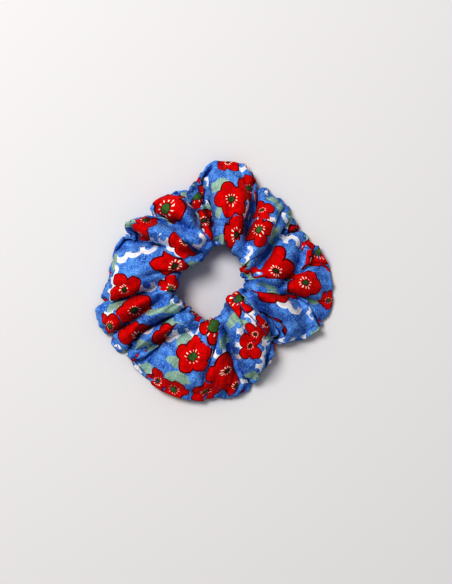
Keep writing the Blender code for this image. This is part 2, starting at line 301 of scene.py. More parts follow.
def near_pairs(points, radius, shape):
    """Pairs of points of the cloth within radius of each other that aren't neighbours on it."""
    columns, rows = shape
    cell = np.floor(points / radius).astype(np.int64)
    cell -= cell.min(0) - 1
    size = cell.max(0) + 2
    key = (cell[:, 0] * size[1] + cell[:, 1]) * size[2] + cell[:, 2]
    order = np.argsort(key, kind="stable")
    key = key[order]
    count = len(points)
    first, second = [], []
    steps = [(x, y, z) for x in (0, 1) for y in (-1, 0, 1) for z in (-1, 0, 1) if (x, y, z) >= (0, 0, 0)]
    for x, y, z in steps:
        wanted = key + (x * size[1] + y) * size[2] + z
        same_cell = (x, y, z) == (0, 0, 0)
        low = np.arange(count) + 1 if same_cell else np.searchsorted(key, wanted, "left")
        many = np.maximum(np.searchsorted(key, wanted, "right") - low, 0)
        within = np.arange(many.sum()) - np.repeat(np.cumsum(many) - many, many)
        first.append(order[np.repeat(np.arange(count), many)])
        second.append(order[np.repeat(low, many) + within])
    first, second = np.concatenate(first), np.concatenate(second)
    d = points[first] - points[second]
    close = np.einsum("ij,ij->i", d, d) < radius * radius
    first, second = first[close], second[close]
    di = np.abs(first // rows - second // rows)
    di = np.minimum(di, columns - di)
    first_row, second_row = first % rows, second % rows
    dj = np.abs(first_row - second_row)
    dj = np.minimum(dj, rows - dj)
    reach = columns // COLUMNS
    apart = (di > reach) | (dj > reach)
    from_seam = [np.minimum(row, rows - row) <= 3 * reach for row in (first_row, second_row)]
    sewn = from_seam[0] & from_seam[1] & (di <= 2 * reach)
    keep = apart & ~sewn
    return first[keep], second[keep]


def push_apart(points, pairs, gap):
    first, second = pairs
    d = points[first] - points[second]
    size = lengths(d)
    hit = size < gap
    first, second, d, size = first[hit], second[hit], d[hit], size[hit]
    push = d * (0.5 * (gap - size) / size)[:, None]
    count = len(points)
    met = np.bincount(first, minlength=count) + np.bincount(second, minlength=count)
    share = 1.0 / np.maximum(1.0, 0.6 * met)
    for axis in range(3):
        forward = np.bincount(first, push[:, axis], count)
        points[:, axis] += share * (forward - np.bincount(second, push[:, axis], count))


def hold_seam(points, shape, strength):
    """Presses the cloth together just inside the outer edge, as the seam allowance does."""
    columns, rows = shape
    starts = np.arange(columns) * rows
    reach = rows // ROWS
    for row, gap in ((reach, 0.9), (2 * reach, 1.3), (3 * reach, 2.1)):
        a, b = starts + row, starts + rows - row
        d = points[b] - points[a]
        size = lengths(d)
        d *= (0.5 * strength * np.maximum(size - gap, 0) / size)[:, None]
        points[a] += d
        points[b] -= d


def keep_off_core_and_floor(points, core_radius):
    """Keeps the cloth outside the elastic and above the floor, and returns which points touch the floor."""
    from_centre = points[:, :2] - CORE_CENTRE[:2]
    r = lengths(from_centre)
    sideways = (r - core_radius) / CORE_HALF_WIDTH
    upwards = (points[:, 2] - MID_HEIGHT) / CORE_HALF_HEIGHT
    d = np.sqrt(sideways * sideways + upwards * upwards) + 1e-9
    inside = d < 1
    grow = 1 / d[inside]
    pushed = (core_radius + (r[inside] - core_radius) * grow) / r[inside]
    points[inside, :2] = CORE_CENTRE[:2] + from_centre[inside] * pushed[:, None]
    points[inside, 2] = MID_HEIGHT + (points[inside, 2] - MID_HEIGHT) * grow
    low = points[:, 2] < FLOOR_CLEARANCE
    points[low, 2] = FLOOR_CLEARANCE
    return low


def turn_about_z(points, angle):
    c, s = np.cos(angle), np.sin(angle)
    x, y = points[:, 0].copy(), points[:, 1].copy()
    points[:, 0], points[:, 1] = c * x - s * y, s * x + c * y


def advance(points, moved, speed, most, low):
    """One step's end: no point moves further than most, and the floor drags on what touches it."""
    d = moved - points
    d *= np.minimum(1.0, most / lengths(d))[:, None]
    speed[:] = d
    speed[low, :2] *= 0.5
    return points + d


class Puffs:
    """Where the gathered cloth should lie: each point's goal in its puff, and how near a valley it is."""

    def __init__(self):
        share = np.array([valley[0] for valley in VALLEYS], float)
        calm = np.array([valley[1] for valley in VALLEYS], float)
        lines = [valley[2] for valley in VALLEYS]
        self.starts = np.concatenate([[0], np.cumsum(share / share.sum() * COLUMNS)])
        self.angles = self.valley_angles(lines)
        column, row = np.repeat(np.arange(COLUMNS), ROWS), np.tile(np.arange(ROWS), COLUMNS)
        from_seam = np.minimum(row, ROWS - row)
        self.outer = np.exp(-((from_seam / 5.0) ** 2))
        self.hole = np.exp(-(((ROWS / 2 - from_seam) / 3.0) ** 2))
        self.inward = from_seam * 2 / ROWS
        self.top = np.sin(2 * np.pi * row / ROWS)
        self.on_top = self.top > -0.05
        self.spread_puffs(column, calm)
        self.follow_valleys(column, lines)

    def valley_angles(self, lines):
        """Each valley's angle at every depth, counter-clockwise in turn."""
        angles = []
        for line in lines:
            x, y = on_line(line, np.linspace(0, 1, DEPTHS))
            angles.append(np.unwrap(np.arctan2(y, x)))
        angles = np.array(angles)
        self.base = angles[0, 0] % (2 * np.pi)
        turns = np.ceil((self.base - 1e-6 - angles[:, 0]) / (2 * np.pi))
        angles += (2 * np.pi * turns)[:, None]
        return np.concatenate([angles, angles[:1] + 2 * np.pi])

    def spread_puffs(self, column, calm):
        """The angle that each point should lie at, and how much of its cloth is spare and sinks."""
        puff = np.clip(np.searchsorted(self.starts, column, side="right") - 1, 0, len(calm) - 1)
        place = self.inward * (DEPTHS - 1)
        low = np.minimum(place.astype(int), DEPTHS - 2)
        part = place - low
        right = self.angles[puff, low] * (1 - part) + self.angles[puff, low + 1] * part
        left = self.angles[puff + 1, low] * (1 - part) + self.angles[puff + 1, low + 1] * part
        half_count = (self.starts[puff + 1] - self.starts[puff]) / 2
        off_middle = column - self.starts[puff] - half_count
        half = (left - right) / 2
        radius = 54 - 36 * self.inward
        natural = off_middle * np.maximum(CLOTH_LENGTH / COLUMNS / radius, half / half_count)
        self.calm = calm[puff]
        even = off_middle / half_count * half
        smooth = np.clip(natural, -half, half)
        self.goal_angle = (left + right) / 2 + self.calm * smooth + (1 - self.calm) * even
        spare = np.maximum(np.abs(natural) - half, 0) * radius
        self.sink = np.clip(spare / 4.0, 0, 1) * self.calm * self.on_top

    def follow_valleys(self, column, lines):
        away = (column[:, None] - self.starts[None, :-1] + COLUMNS / 2) % COLUMNS - COLUMNS / 2
        nearest = np.abs(away).argmin(1)
        self.valley = np.exp(-((np.abs(away).min(1) / 2.5) ** 2))
        self.goal = np.zeros((len(column), 2))
        for k, line in enumerate(lines):
            mine = nearest == k
            self.goal[mine] = np.stack(on_line(line, self.inward[mine]), -1)

    def guide(self, points, radius, progress):
        """Gently turns, sinks and draws the points towards their places, more as the gathering goes on."""
        spans = ((0.1, 0.3), (0.3, 0.5), (0.75, 0.25))
        early, middle, late = (np.clip((progress - start) / span, 0, 1) for start, span in spans)
        turn = (self.goal_angle - np.arctan2(points[:, 1], points[:, 0]) + np.pi) % (2 * np.pi) - np.pi
        rate = 0.06 * self.outer + 0.012 + 0.03 * self.calm
        turn_about_z(points, np.clip(turn * rate * early, -0.02, 0.02))
        in_valley = middle * self.valley * self.on_top
        points[:, 2] -= 0.22 * in_valley * np.maximum(self.top, 0.2) * (points[:, 2] > MID_HEIGHT - 1)
        points[:, 2] -= 0.12 * middle * self.sink * (points[:, 2] > 5)
        pull = np.clip(self.goal * (radius / END_RADIUS) - points[:, :2], -4, 4)
        points[:, :2] += pull * (0.06 * in_valley * (1 - 0.8 * self.outer))[:, None]
        r, angle = np.hypot(points[:, 0], points[:, 1]), np.arctan2(points[:, 1], points[:, 0])
        edge = around(OUTER_EDGE, angle) * radius / END_RADIUS
        rim = around(HOLE_EDGE, angle)
        move = (edge - NOTCH_DEPTH * self.valley - r) * self.outer * 0.05
        move = move + np.minimum(edge + 0.3 - r, 0) * 0.15
        move += np.maximum(rim - r, 0) * 0.15 + np.minimum(rim - r, 0) * 0.05 * self.hole
        points[:, :2] *= (1 + late * move / r)[:, None]


def smooth_tube(start_angle, rng):
    """The sleeve before it is gathered: a wide flattened ring with slight ruffles."""
    column = np.arange(COLUMNS)
    ruffles = []
    for _ in range(3):
        waves = sum(
            rng.normal() * np.cos(2 * np.pi * f * column / COLUMNS + rng.uniform(0, 2 * np.pi))
            for f in range(22, 40)
        )
        ruffles.append(waves / np.abs(waves).max())
    angle = 2 * np.pi * column / COLUMNS + start_angle
    grid = np.zeros((COLUMNS, ROWS, 3))
    for j in range(ROWS):
        turn = 2 * math.pi * j / ROWS
        up = math.sin(turn)
        r = START_RADIUS + TUBE_HALF_WIDTH * math.cos(turn) + 0.8 * ruffles[0] * abs(math.sin(turn / 2))
        grid[:, j, 0], grid[:, j, 1] = r * np.cos(angle), r * np.sin(angle)
        grid[:, j, 2] = MID_HEIGHT + TUBE_HALF_HEIGHT * up + 0.9 * ruffles[1 if up > 0 else 2] * abs(up)
    return grid


def seam_strengths(puffs):
    """How firmly the outer edge is pressed flat at each column: more on the lower right half."""
    angle = np.interp(np.arange(COLUMNS), puffs.starts, puffs.angles[:, 0])
    return np.where(np.cos(angle + math.radians(45)) > -0.25, 0.6, 0.12)


def gather(puffs, seam):
    """Draws the tube in to the elastic's length, where it pleats."""
    shape = (COLUMNS, ROWS)
    rng = np.random.default_rng(GATHER_SEED)
    springs = make_springs(shape, rng, growth=(0.0, 0.0), crinkle=0.06, passes=3, bend=0.06, far_bend=0.015)
    points = smooth_tube(puffs.base, rng).reshape(-1, 3)
    speed = np.zeros_like(points)
    radius = START_RADIUS
    for step in range(GATHER_STEPS + SETTLE_STEPS):
        progress = min(1.0, step / GATHER_STEPS)
        gathering = step < GATHER_STEPS
        next_radius = START_RADIUS + (END_RADIUS - START_RADIUS) * (1 - (1 - progress) ** 1.3)
        for half in (0, 1):
            drawn = (radius - next_radius) / (2 - half)
            radius -= drawn
            r = np.hypot(points[:, 0], points[:, 1])
            points[:, :2] *= ((r - drawn) / r)[:, None]
            normal = grid_normals(points.reshape(*shape, 3)).reshape(-1, 3)
            moved = points + GATHER_KEPT * speed + (FILL if gathering else SETTLING_FILL) * normal
            moved[:, 2] -= FALL if gathering else SETTLING_FALL
            puffs.guide(moved, radius, progress)
            for _ in range(3):
                pull_springs(moved, springs)
                hold_seam(moved, shape, seam * min(1, progress * 2))
            if half == 0:
                pairs = near_pairs(moved, GATHER_REACH, shape)
            push_apart(moved, pairs, GATHER_GAP)
            low = keep_off_core_and_floor(moved, radius - CORE_INSET)
            points = advance(points, moved, speed, GATHER_MOST, low)
    return points.reshape(*shape, 3)


def finer(grid):
    """The grid with a point added in the middle of each gap, on a smooth curve, both ways."""
    for axis in (0, 1):
        near = grid + np.roll(grid, -1, axis)
        far = np.roll(grid, 1, axis) + np.roll(grid, -2, axis)
        size = list(grid.shape)
        size[axis] *= 2
        grid = np.stack([grid, (9 * near - far) / 16], axis=axis + 1).reshape(size)
    return grid


def crumple(grid, seam):
    """Lets the cloth grow a little, so that it buckles into creases finer than the pleats."""
    shape = grid.shape[:2]
    rng = np.random.default_rng(CRUMPLE_SEED)
    start = 0.7 * streaky_noise(shape, 7, 22, rng) + 0.3 * streaky_noise(shape, 4, 5, rng)
    springs = make_springs(shape, rng, growth=(0.16, 0.05), crinkle=0.05, passes=3, bend=0.04, far_bend=0.0)
    points = (grid + grid_normals(grid) * start[..., None]).reshape(-1, 3)
    speed = np.zeros_like(points)
    for _ in range(CRUMPLE_STEPS):
        for half in (0, 1):
            normal = grid_normals(points.reshape(*shape, 3)).reshape(-1, 3)
            moved = points + CRUMPLE_KEPT * speed + 0.01 * normal
            for _ in range(2):
                pull_springs(moved, springs)
                hold_seam(moved, shape, seam)
            if half == 0:
                pairs = near_pairs(moved, CRUMPLE_REACH, shape)
            push_apart(moved, pairs, CRUMPLE_GAP)
            low = keep_off_core_and_floor(moved, END_RADIUS - CORE_INSET)
            points = advance(points, moved, speed, CRUMPLE_MOST, low)
    return eased(points.reshape(*shape, 3))


def eased(grid):
    """The grid without the creases of only two or three cells, and with its size kept."""
    for _ in range(EASING_PASSES):
        for share in (0.5, -0.53):
            around_it = sum(np.roll(grid, shift, axis) for shift in (1, -1) for axis in (0, 1)) / 4
            grid = grid + share * (around_it - grid)
    return grid


def from_valleys(points):
    """How far each point lies, seen from above, from the nearest valley's line."""
    nearest = np.full(len(points), np.inf)
    for _, _, line in VALLEYS:
        x, y = on_line(line, np.linspace(0, 1, DEPTHS))
        d = np.hypot(points[:, 0, None] - x, points[:, 1, None] - y).min(1)
        nearest = np.minimum(nearest, d)
    return nearest


def deepened(grid):
    """The cloth's upper side with its valleys sunk, less over the elastic, and its puffs raised."""
    points = grid.reshape(-1, 3)
    d = from_valleys(points)
    from_core = np.hypot(points[:, 0] - CORE_CENTRE[0], points[:, 1] - CORE_CENTRE[1]) - ELASTIC_RADIUS
    free = 1 - (1 - SINK_OVER_ELASTIC) * np.exp(-((from_core / ELASTIC_REACH) ** 2))
    change = RISE * (1 - np.exp(-((d / RISE_WIDTH) ** 2))) - SINK * np.exp(-((d / SINK_WIDTH) ** 2)) * free
    height = np.clip((points[:, 2] - SHIFT_FROM) / SHIFT_SPAN, 0, 1)
    lifted = points.copy()
    lifted[:, 2] += change * height * height * (3 - 2 * height)
    return lifted.reshape(grid.shape)


def gathered_cloth():
    puffs = Puffs()
    seam = seam_strengths(puffs)
    return deepened(crumple(finer(gather(puffs, seam)), np.repeat(seam, 2)))


# ---- Meshes ----


def to_frame(points):
    """Ring coordinates in millimetres as frame coordinates in metres."""
    return (np.asarray(points, float) + RING_CENTRE) * MM


def make_piece(name, points, faces, material, nodes):
    """A smooth mesh object that takes the place of the CAD nodes, which it hides."""
    mesh = bpy.data.meshes.new(name)
    mesh.from_pydata(to_frame(points).tolist(), [], faces)
    mesh.shade_smooth()
    mesh.materials.append(material)
    piece = bpy.data.objects.new(name, mesh)
    bpy.context.scene.collection.objects.link(piece)
    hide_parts(*nodes)
    return piece


def loop_faces(columns, rows, first=0, closed_along=True, closed_across=True, flip=False):
    """Quads of a grid of columns by rows, counted row by row within each column."""
    i, j = np.meshgrid(
        np.arange(columns if closed_along else columns - 1),
        np.arange(rows if closed_across else rows - 1),
        indexing="ij",
    )
    i_next, j_next = (i + 1) % columns, (j + 1) % rows
    corners = [i * rows + j, i_next * rows + j, i_next * rows + j_next, i * rows + j_next]
    quads = first + np.stack(corners, -1).reshape(-1, 4)
    return quads[:, ::-1] if flip else quads


def crinkled(grid, rng):
    """The cloth with its fine creases, longest from the seam to the hole, and the raised closing lap."""
    columns, rows = grid.shape[:2]
    creases = sum(size * streaky_noise((columns, rows), *spread, rng) for size, *spread in CRINKLES)
    edge_distance = np.minimum(np.arange(rows), rows - np.arange(rows)) * CLOTH_GIRTH / rows
    creases = creases * np.clip(edge_distance / CRINKLE_FREE_EDGE, 0.35, 1.0)[None, :]
    along = ((LAP_COLUMN - np.arange(columns)) % columns) * CLOTH_LENGTH / columns
    lap = np.where(along < LAP_LENGTH, LAP_RISE * (1 - 0.7 * along / LAP_LENGTH), 0.0)
    lap -= STITCH_DIP * np.exp(-(((along - LAP_STITCH_INSET) / 0.7) ** 2))
    grid = grid + grid_normals(grid) * (creases + lap[:, None])[..., None]
    grid[..., 2] = np.maximum(grid[..., 2], LOWEST)
    return grid


def make_sleeve(grid, material):
    """The sleeve: its printed outside, its wrong side, and the seam allowance inside the outer edge."""
    columns, rows = grid.shape[:2]
    coarse = grid[::2, ::2]
    inside = coarse - grid_normals(coarse) * CLOTH
    plies = []
    for row in ALLOWANCE_ROWS:
        above, below = grid[::2, row], grid[::2, rows - row]
        middle, apart = (above + below) / 2, above - below
        gap = np.maximum(np.linalg.norm(apart, axis=1, keepdims=True), 1e-6)
        half = apart / gap * np.minimum(ALLOWANCE_HALF_THICKNESS, 0.3 * gap)
        plies.append((middle + half, middle - half))
    fin = np.stack([p[0] for p in plies] + [p[1] for p in reversed(plies)], axis=1)
    outer_count, inner_count = columns * rows, inside.shape[0] * inside.shape[1]
    faces = np.concatenate(
        [
            loop_faces(columns, rows),
            loop_faces(columns // 2, rows // 2, outer_count, flip=True),
            loop_faces(columns // 2, fin.shape[1], outer_count + inner_count),
        ]
    )
    points = np.concatenate([part.reshape(-1, 3) for part in (grid, inside, fin)])
    nodes = ("fabric_sleeve_left", "fabric_sleeve_right")
    sleeve = make_piece("gathered_sleeve", points, faces.tolist(), material, nodes)
    print_motifs(sleeve.data, grid)
    return sleeve


def thread_tube(name, path, closed, material, node):
    """A round thread along a path, with the distance along it and round it kept for its twist."""
    path = np.array(path, float)
    path[:, 2] = np.maximum(path[:, 2], THREAD_RADIUS + 0.02)
    ahead = np.roll(path, -1, 0) - np.roll(path, 1, 0)
    if not closed:
        ahead[0], ahead[-1] = path[1] - path[0], path[-1] - path[-2]
    ahead /= np.maximum(np.linalg.norm(ahead, axis=1, keepdims=True), 1e-9)
    side = np.zeros_like(path)
    side[0] = np.cross(ahead[0], (0.31, 0.17, 0.93))
    for k in range(len(path)):
        before = side[k - 1] if k else side[0]
        side[k] = before - ahead[k] * (before @ ahead[k])
        side[k] /= np.linalg.norm(side[k])
    up = np.cross(ahead, side)
    turns = 2 * np.pi * np.arange(THREAD_SIDES) / THREAD_SIDES
    ring = [path + THREAD_RADIUS * (math.cos(t) * side + math.sin(t) * up) for t in turns]
    points = np.stack(ring, axis=1)
    faces = loop_faces(len(path), THREAD_SIDES, closed_along=closed, flip=True).tolist()
    if not closed:
        last = (len(path) - 1) * THREAD_SIDES
        faces.append(list(range(THREAD_SIDES)))
        faces.append(list(range(last + THREAD_SIDES - 1, last - 1, -1)))
    piece = make_piece(name, points.reshape(-1, 3), faces, material, (node,))
    along = np.concatenate([[0], np.cumsum(np.linalg.norm(np.diff(path, axis=0), axis=1))])
    places = np.broadcast_arrays(along[:, None], turns[None, :], 0.0)
    store_vectors(piece.data, "cloth", "POINT", np.stack(places, -1))
    return piece


def store_vectors(mesh, name, domain, values):
    attribute = mesh.attributes.new(name, "FLOAT_VECTOR", domain)
    attribute.data.foreach_set("vector", np.asarray(values, np.float32).ravel())


def side_seam_path(grid, side):
    """The lock stitches through both plies of the seam allowance, seen from one face of them."""
    rows = grid.shape[1]
    above, below = grid[::2, SIDE_STITCH_ROW], grid[::2, rows - SIDE_STITCH_ROW]
    apart = above - below
    apart /= np.maximum(np.linalg.norm(apart, axis=1, keepdims=True), 1e-6)
    stitch = SIDE_STITCH_SWING * np.cos(np.arange(len(above)) * np.pi)[:, None]
    return (above + below) / 2 + side * apart * (ALLOWANCE_HALF_THICKNESS + THREAD_RADIUS + stitch)


def closing_seam_path(grid, side):
    """The stitches through the lap, round the sleeve from one side of its outer edge to the other."""
    rows = grid.shape[1]
    column = (LAP_COLUMN - round(LAP_STITCH_INSET / (CLOTH_LENGTH / grid.shape[0]))) % grid.shape[0]
    chosen = np.linspace(CLOSING_SEAM_START_ROW, rows - CLOSING_SEAM_START_ROW, CLOSING_SEAM_POINTS)
    line = np.stack([np.interp(chosen, np.arange(rows), grid[column, :, axis]) for axis in range(3)], -1)
    normal = grid_normals(grid)[column]
    out = np.stack([np.interp(chosen, np.arange(rows), normal[:, axis]) for axis in range(3)], -1)
    dips = np.abs(np.sin(np.pi * np.arange(CLOSING_SEAM_POINTS) / POINTS_PER_STITCH))[:, None]
    offset = THREAD_RADIUS + STITCH_CLEAR if side > 0 else -(CLOTH + THREAD_RADIUS + STITCH_CLEAR)
    return line + out * (offset - side * STITCH_SAG * (1 - dips ** 0.5))


def ring_point(angle, radius, height):
    x, y = radius * math.cos(math.radians(angle)), radius * math.sin(math.radians(angle))
    return (CORE_CENTRE[0] + x, CORE_CENTRE[1] + y, height)


def elastic_layer(travelled):
    """How far the band has climbed onto its own first stretch after this many degrees."""
    return (ELASTIC_THICKNESS + LAYER_GAP) * min(1.0, travelled / (360.0 - ELASTIC_LAP_ANGLE))


def make_elastic(material):
    """One flat braided band in a loop, ribbed along its length, its last stretch outside its first."""
    sweep = 360.0 + ELASTIC_LAP_ANGLE
    section = []
    for k in range(ELASTIC_SECTION_POINTS):
        turn = 2 * math.pi * k / ELASTIC_SECTION_POINTS
        c, s = math.cos(turn), math.sin(turn)
        wide = math.copysign(abs(s) ** 0.35, s) * ELASTIC_WIDTH / 2
        rib = ELASTIC_RIB * math.cos(2 * math.pi * ELASTIC_RIBS * wide / ELASTIC_WIDTH)
        thick = math.copysign(abs(c) ** 0.5, c) * (ELASTIC_THICKNESS / 2 - ELASTIC_RIB + rib)
        section.append((thick, wide))
    points, cloth = [], []
    for k in range(ELASTIC_STATIONS + 1):
        travelled = sweep * k / ELASTIC_STATIONS
        radius = ELASTIC_RADIUS + elastic_layer(travelled)
        for thick, wide in section:
            points.append(ring_point(ELASTIC_LAP_START + travelled, radius + thick, MID_HEIGHT + wide))
            cloth.append((math.radians(travelled) * ELASTIC_RADIUS, wide, 0.0))
    faces = loop_faces(ELASTIC_STATIONS + 1, ELASTIC_SECTION_POINTS, closed_along=False).tolist()
    last = ELASTIC_STATIONS * ELASTIC_SECTION_POINTS
    faces.append(list(range(ELASTIC_SECTION_POINTS - 1, -1, -1)))
    faces.append(list(range(last, last + ELASTIC_SECTION_POINTS)))
    band = make_piece("braided_elastic", points, faces, material, ("elastic_band",))
    store_vectors(band.data, "cloth", "POINT", cloth)
    return band


def elastic_join_path(side):
    """The zigzag over the elastic's lapped ends, on the outer face (1) or the inner face (-1)."""
    sweep = ELASTIC_LAP_ANGLE - 2 * ZIGZAG_MARGIN_ANGLE
    count = 2 * ZIGZAG_TEETH * ZIGZAG_POINTS_PER_RUN
    path = []
    for k in range(count + 1):
        run = k / ZIGZAG_POINTS_PER_RUN
        swing = 1 - 2 * abs(run % 2 - 1)
        angle = ELASTIC_LAP_START + ZIGZAG_MARGIN_ANGLE + sweep * k / count
        layer = elastic_layer(angle - ELASTIC_LAP_START + (360.0 if side > 0 else 0.0))
        radius = ELASTIC_RADIUS + layer + side * (ELASTIC_THICKNESS / 2 + THREAD_RADIUS + 0.05)
        path.append(ring_point(angle, radius, MID_HEIGHT - ZIGZAG_HALF_WIDTH * swing))
    return path


def make_threads(grid, material):
    """The needle and bobbin threads of the three seams."""
    seams = (
        ("side_seam_{}_stitches", "side_seam_{}_thread", lambda side: side_seam_path(grid, side), True),
        ("closing_{}_stitches", "closing_seam_{}_thread", lambda side: closing_seam_path(grid, side), False),
        ("elastic_join_{}_zigzag", "elastic_join_{}_thread", elastic_join_path, False),
    )
    return [
        thread_tube(name.format(which), path(side), closed, material, node.format(which))
        for name, node, path, closed in seams
        for which, side in (("needle", 1), ("bobbin", -1))
    ]


# ---- The print ----


def cloth_place(tree, grid, x, y, turn):
    """Where a point seen from above lies on the flat cloth, and the turn of its motif there."""
    hit = tree.ray_cast(Vector((x, y, ABOVE)) - Vector(RING_CENTRE), DOWN)
    if hit[0] is None:
        return None
    columns, rows = grid.shape[:2]
    i, j = divmod(hit[2], rows)
    along = grid[(i + 1) % columns, j] - grid[i, j]
    across = grid[i, (j + 1) % rows] - grid[i, j]
    seen = np.array((math.cos(math.radians(turn)), math.sin(math.radians(turn)), 0.0))
    cloth_turn = math.atan2(seen @ across, seen @ along)
    u = ((i - LAP_COLUMN) % columns + 0.5) * CLOTH_LENGTH / columns
    return u, (j + 0.5) * CLOTH_GIRTH / rows, cloth_turn


def out_of_sight(tree, grid, u, v):
    """Whether this place on the flat cloth can't be seen from above."""
    columns, rows = grid.shape[:2]
    i = (int(u / CLOTH_LENGTH * columns) + LAP_COLUMN) % columns
    x, y, z = grid[i, int(v / CLOTH_GIRTH * rows) % rows]
    hit = tree.ray_cast(Vector((x, y, ABOVE)), DOWN)
    return hit[0] is None or hit[0].z > z + SIGHT_DEPTH


def spread_motifs(tree, grid, placed, spacing, sizes, rng):
    """Adds motifs at random over the cloth that isn't seen from above, no two closer than the spacing."""
    motifs = list(placed)
    for _ in range(MOTIF_TRIES):
        u, v = rng.uniform(0, CLOTH_LENGTH), rng.uniform(0, CLOTH_GIRTH)
        size, turn = rng.uniform(*sizes), rng.uniform(0, 2 * math.pi)
        far = all(math.hypot(u - m[0], v - m[1]) > spacing + 0.4 * (m[3] - sizes[0]) for m in motifs)
        if far and out_of_sight(tree, grid, u, v):
            motifs.append((u, v, turn, size))
    return motifs


def cloth_corners(columns, rows):
    """Each corner's place on the flat cloth, for the outside, the wrong side and the seam allowance."""

    def corners(step, near, far, flip):
        i, j = np.meshgrid(np.arange(0, columns, step), np.arange(len(near)), indexing="ij")
        start = (i - LAP_COLUMN) % columns
        u = np.stack([start, start + step, start + step, start], -1).reshape(-1, 4)
        v = np.stack([near[j], near[j], far[j], far[j]], -1).reshape(-1, 4)
        return (u[:, ::-1], v[:, ::-1]) if flip else (u, v)

    every, second = np.arange(rows), np.arange(0, rows, 2)
    allowance = np.array(ALLOWANCE_ROWS + ALLOWANCE_ROWS[::-1])
    parts = (
        corners(1, every, every + 1, False),
        corners(2, second, second + 2, True),
        corners(2, allowance, np.roll(allowance, -1), False),
    )
    u, v = (np.concatenate([part[side] for part in parts]) for side in (0, 1))
    return u * CLOTH_LENGTH / columns, v * CLOTH_GIRTH / rows


def print_motifs(mesh, grid):
    """Stores, for each corner of each face, its place on the cloth and in the nearest motif of each kind."""
    columns, rows = grid.shape[:2]
    faces = loop_faces(columns, rows)
    tree = BVHTree.FromPolygons(grid.reshape(-1, 3).tolist(), faces.tolist())
    rng = np.random.default_rng(PRINT_SEED)
    u, v = cloth_corners(columns, rows)
    store_vectors(mesh, "cloth", "CORNER", np.stack((u, v, np.zeros_like(u)), -1))
    for name, placed, spacing, sizes in MOTIF_LAYERS:
        found = [(cloth_place(tree, grid, x, y, turn), size) for x, y, size, turn in placed]
        seen = [(*place, size) for place, size in found if place]
        motifs = np.array(spread_motifs(tree, grid, seen, spacing, sizes, rng))
        middle_u, middle_v = u.mean(1), v.mean(1)
        nearest = np.zeros(len(u), int)
        best = np.full(len(u), 1e9)
        for k, (mu, mv, _, size) in enumerate(motifs):
            d = np.hypot(middle_u - mu, middle_v - mv) / size
            nearer = d < best
            nearest[nearer], best[nearer] = k, d[nearer]
        mu, mv, turn, size = motifs[nearest].T[:, :, None]
        du, dv = (u - mu) / size, (v - mv) / size
        local_x = du * np.cos(turn) + dv * np.sin(turn)
        local_y = dv * np.cos(turn) - du * np.sin(turn)
        seed = (nearest * GOLDEN_STEP % 1.0)[:, None] + 0 * local_x
        store_vectors(mesh, name, "CORNER", np.stack((local_x, local_y, seed), -1))


# ---- Materials ----


class Graph:
    """The nodes of one material, written as arithmetic on sockets."""

    def __init__(self, name, roughness, sheen=0.0, specular=0.3):
        self.material = bpy.data.materials.new(name)
        self.material.use_nodes = True
        self.tree = self.material.node_tree
        self.shader = self.tree.nodes["Principled BSDF"]
        self.shader.inputs["Roughness"].default_value = roughness
        self.shader.inputs["Sheen Weight"].default_value = sheen
        self.shader.inputs["Specular IOR Level"].default_value = specular

    def feed(self, socket, value):
        if isinstance(value, bpy.types.NodeSocket):
            self.tree.links.new(value, socket)
        else:
            socket.default_value = value

    def node(self, kind, **settings):
        made = self.tree.nodes.new("ShaderNode" + kind)
        for key, value in settings.items():
            setattr(made, key, value)
        return made

    def math(self, operation, *values):
        made = self.node("Math", operation=operation)
        for socket, value in zip(made.inputs, values):
            self.feed(socket, value)
        return made.outputs[0]

    def add(self, a, b):
        return self.math("ADD", a, b)

    def times(self, a, b):
        return self.math("MULTIPLY", a, b)

    def fraction(self, value, by):
        """The part after the point of value times by, which spreads a motif's seed anew."""
        return self.math("FRACT", self.times(value, by))

    def split(self, vector):
        made = self.node("SeparateXYZ")
        self.feed(made.inputs[0], vector)
        return made.outputs

    def join(self, x, y, z):
        made = self.node("CombineXYZ")
        for socket, value in zip(made.inputs, (x, y, z)):
            self.feed(socket, value)
        return made.outputs[0]

    def stored(self, name):
        return self.node("Attribute", attribute_name=name).outputs["Vector"]

    def noise(self, vector, scale, detail=2.0):
        made = self.node("TexNoise")
        self.feed(made.inputs["Vector"], vector)
        made.inputs["Scale"].default_value = scale
        made.inputs["Detail"].default_value = detail
        return made.outputs

    def below(self, value, edge, softness):
        """1 where value is below edge, falling smoothly to 0 above it."""
        made = self.node("MapRange", interpolation_type="SMOOTHSTEP")
        self.feed(made.inputs["Value"], value)
        for name, shift in (("From Min", -softness), ("From Max", softness)):
            self.feed(made.inputs[name], edge + shift if isinstance(edge, float) else self.add(edge, shift))
        made.inputs["To Min"].default_value = 1.0
        made.inputs["To Max"].default_value = 0.0
        return made.outputs[0]

    def mix(self, factor, first, second):
        made = self.node("Mix", data_type="RGBA")
        self.feed(made.inputs[0], factor)
        self.feed(made.inputs[6], first)
        self.feed(made.inputs[7], second)
        return made.outputs[2]

    def colour(self, value):
        self.feed(self.shader.inputs["Base Color"], value)

    def bump(self, height_mm, strength):
        made = self.node("Bump")
        made.inputs["Strength"].default_value = strength
        made.inputs["Distance"].default_value = MM
        self.feed(made.inputs["Height"], height_mm)
        self.feed(self.shader.inputs["Normal"], made.outputs[0])


def wobbled(g, layer, amount, scale):
    """A motif's own coordinates (x, y, seed), bent a little so that no two motifs are alike."""
    x, y, seed = g.split(g.stored(layer))
    bend = g.split(g.noise(g.join(x, y, g.times(seed, 40.0)), scale, 1.0)["Color"])
    return (
        g.add(x, g.times(g.add(bend[0], -0.5), amount)),
        g.add(y, g.times(g.add(bend[1], -0.5), amount)),
        seed,
    )


def length_of(g, x, y):
    return g.math("SQRT", g.add(g.times(x, x), g.times(y, y)))


